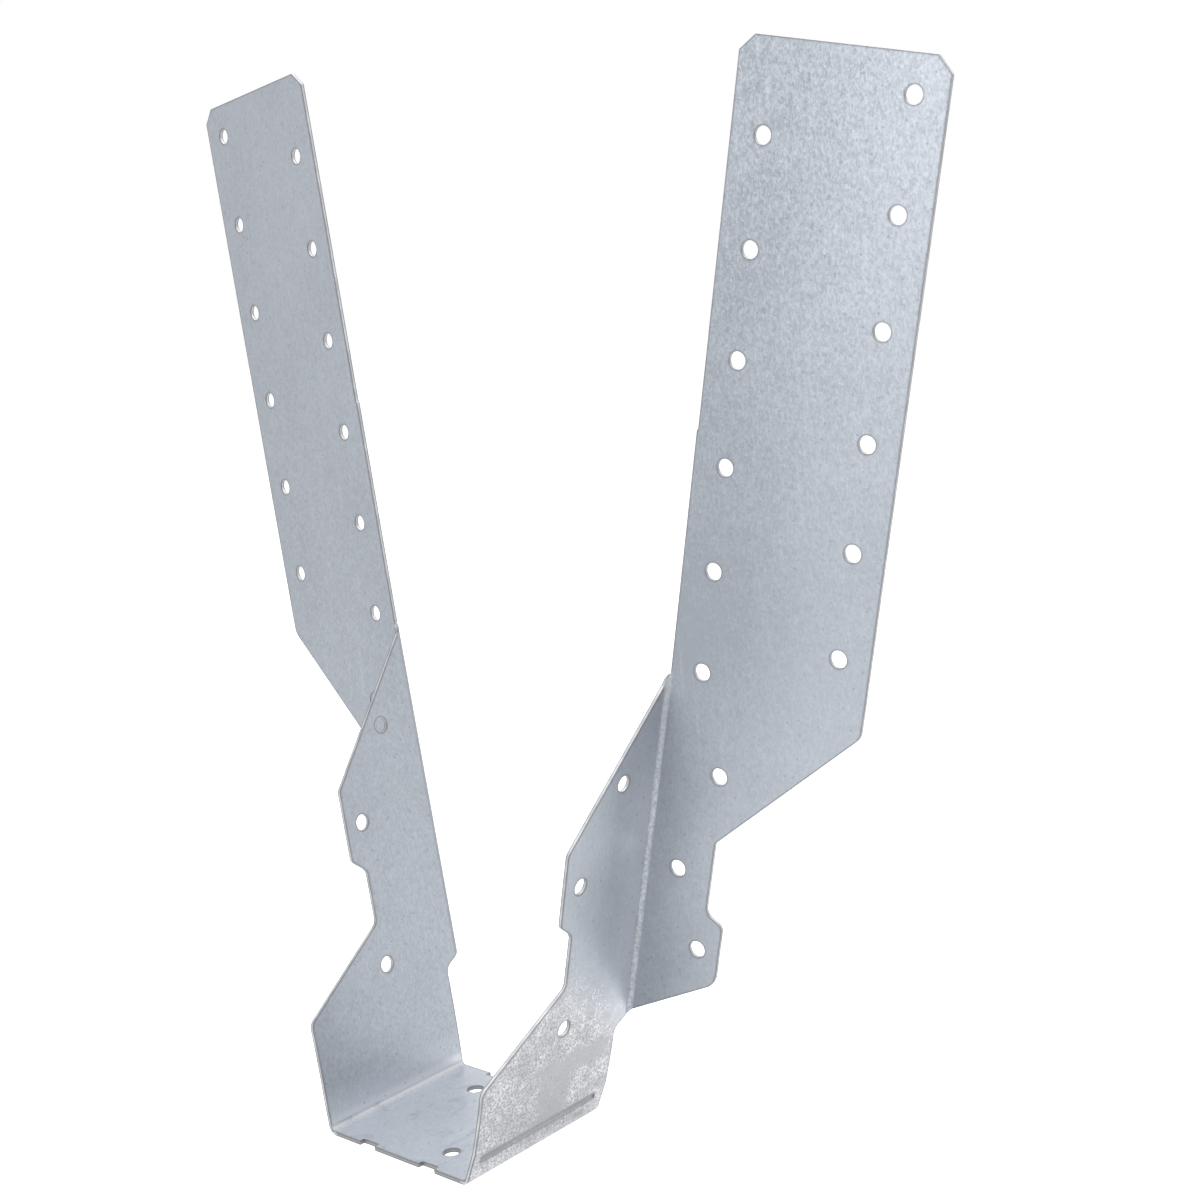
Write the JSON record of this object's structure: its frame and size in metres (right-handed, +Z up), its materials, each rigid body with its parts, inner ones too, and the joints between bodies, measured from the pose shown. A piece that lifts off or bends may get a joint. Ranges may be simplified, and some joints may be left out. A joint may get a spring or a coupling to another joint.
{
  "type": "joist hanger",
  "caption": "Long-leg joist hanger folded from one galvanised sheet: a seat, two splayed sides and two nailing legs.",
  "frame": {"origin": "middle of the seat's underside", "axes": "+X to the right across the joist, +Y along the joist towards the header, +Z up"},
  "size_m": [0.2416, 0.061, 0.2688],
  "materials": {
    "galvanised_steel": "pre-galvanised, satin, fine spangle"
  },
  "bodies": {
    "root": {"hanger": "galvanised_steel"}
  },
  "joints": []
}
